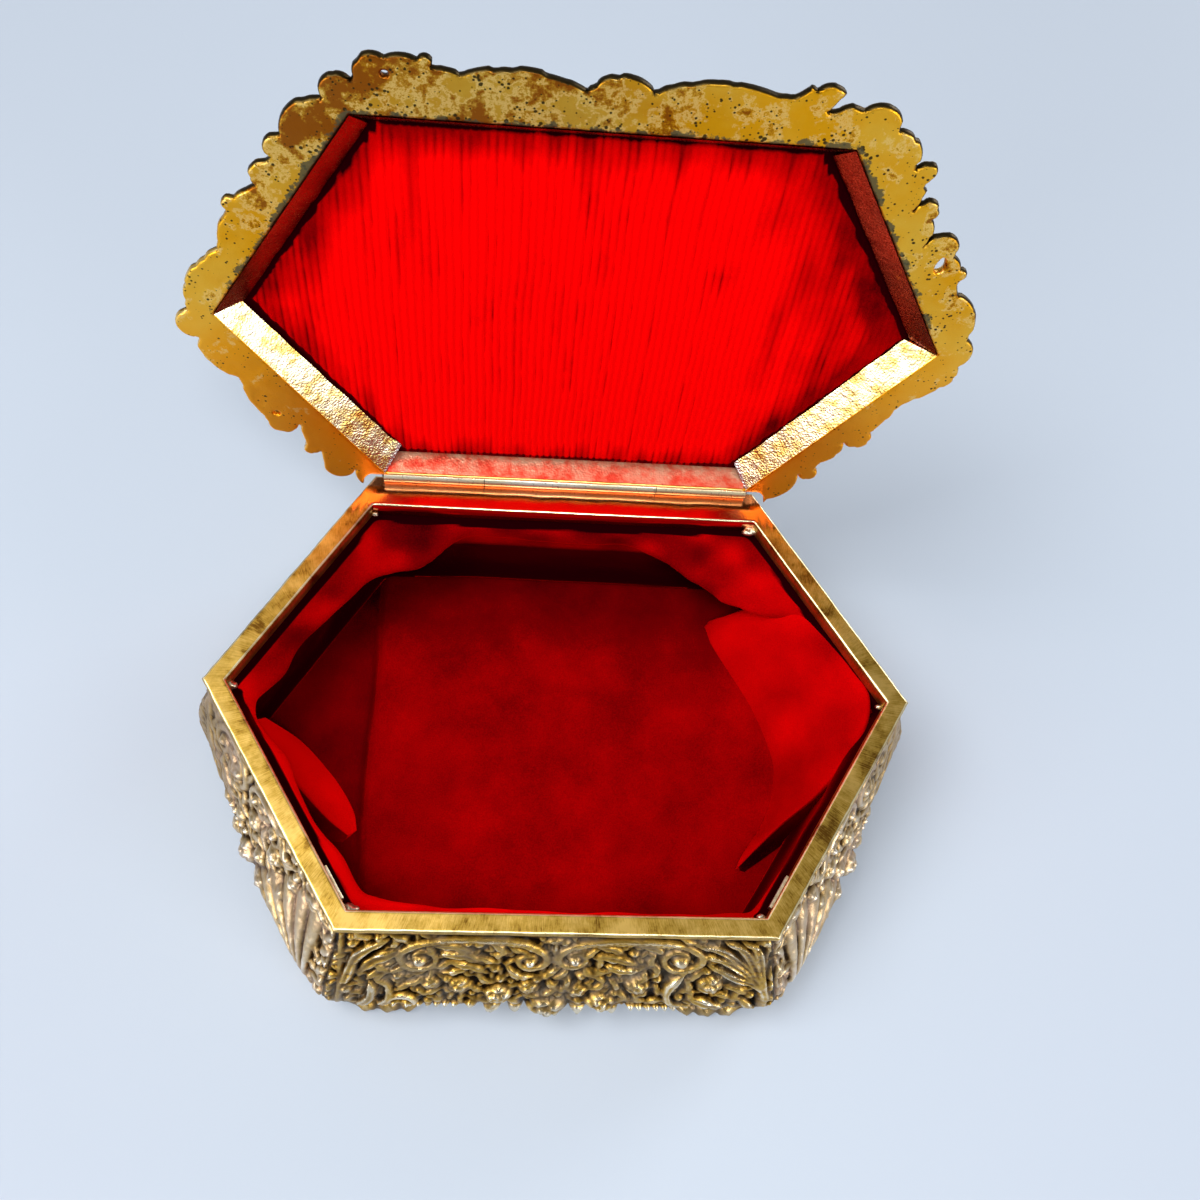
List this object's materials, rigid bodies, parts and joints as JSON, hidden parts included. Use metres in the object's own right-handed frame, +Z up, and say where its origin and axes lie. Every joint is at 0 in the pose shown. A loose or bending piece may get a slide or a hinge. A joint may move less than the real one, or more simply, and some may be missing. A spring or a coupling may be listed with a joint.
{
  "type": "jewelry casket",
  "caption": "Six-sided gilt metal jewelry casket with scroll relief, corner feet, a hinged lid with a scalloped border, and velvet linings.",
  "frame": {"origin": "on the plane under the four feet, below the middle of the case's six-sided rim", "axes": "+X to the right along the hinge, +Y from the front to the hinge side, +Z up"},
  "size_m": [0.1566, 0.1233, 0.1397],
  "materials": {
    "gilt_cast": "antiqued cast gilt",
    "gilt_rim": "worn polished gilt",
    "hinge_brass": "polished",
    "pin_steel": "drawn wire",
    "bottom_sheet": "rolled sheet",
    "solder": "dull solder",
    "card": "grey-brown board",
    "velvet": "red velvet pile"
  },
  "bodies": {
    "case": {"rim_frame": "gilt_rim", "front_panel": "gilt_cast", "right_front_panel": "gilt_cast", "right_back_panel": "gilt_cast", "back_panel": "gilt_cast", "left_back_panel": "gilt_cast", "left_front_panel": "gilt_cast", "bottom_plate": "bottom_sheet", "bottom_lugs": "bottom_sheet", "front_left_foot": "gilt_cast", "front_right_foot": "gilt_cast", "back_left_foot": "gilt_cast", "back_right_foot": "gilt_cast", "corner_solder": "solder", "rim_tabs": "solder", "floor_card": "card", "floor_pad": "velvet", "wall_lining": "velvet", "base_hinge_leaf": "hinge_brass", "hinge_pin": "pin_steel"},
    "lid": {"lid_flange": "gilt_rim", "lid_dome": "gilt_cast", "lid_wall_front": "gilt_rim", "lid_wall_right_front": "gilt_rim", "lid_wall_right_back": "gilt_rim", "lid_wall_back": "gilt_rim", "lid_wall_left_back": "gilt_rim", "lid_wall_left_front": "gilt_rim", "lid_card": "card", "lid_lining": "velvet", "lid_hinge_leaf": "hinge_brass"}
  },
  "joints": [
    {"name": "lid_hinge", "type": "hinge", "parent": "case", "child": "lid", "pos_m": [0, 0.0468, 0.0386], "axis": [1, 0, 0], "range_deg": [0, 95]}
  ]
}
